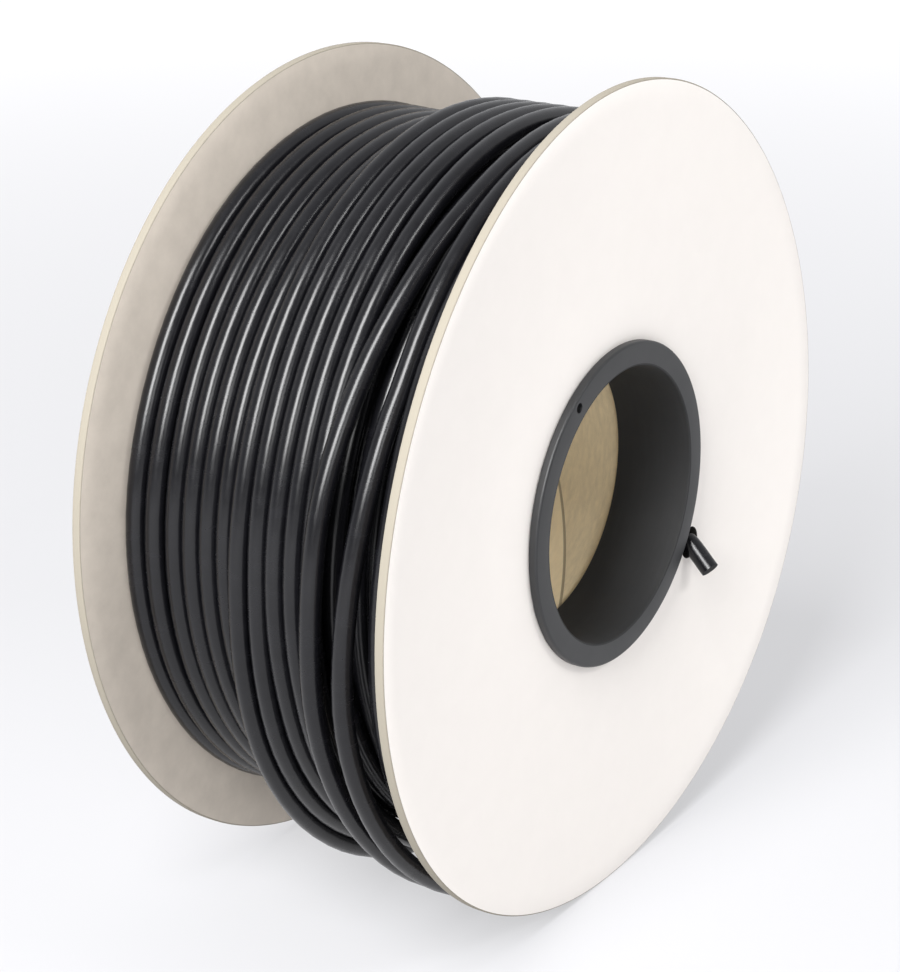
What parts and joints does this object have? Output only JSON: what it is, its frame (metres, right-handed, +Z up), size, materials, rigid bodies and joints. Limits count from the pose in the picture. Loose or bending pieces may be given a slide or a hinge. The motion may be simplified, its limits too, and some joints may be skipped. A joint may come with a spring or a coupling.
{
  "type": "coaxial cable coil",
  "caption": "Reel of black coaxial cable wound between round fibreboard flanges on a paper core tube, with moulded hub collars around an open bore.",
  "frame": {"origin": "on the floor under the middle of the overall box, where the reel stands on its rims", "axes": "+Y along the reel's axis towards the rear flange, +Z up, front flange with the cable's inner end towards -Y"},
  "size_m": [0.29, 0.1309, 0.29],
  "materials": {
    "fibreboard": "matte white-faced fibreboard",
    "kraft_tube": "matte brown paperboard",
    "moulded_plastic": "satin black moulded plastic",
    "cable_jacket": "satin black extruded jacket"
  },
  "bodies": {
    "root": {"front_flange": "fibreboard", "rear_flange": "fibreboard", "core_tube": "kraft_tube", "front_collar": "moulded_plastic", "rear_collar": "moulded_plastic", "cable": "cable_jacket"}
  },
  "joints": []
}
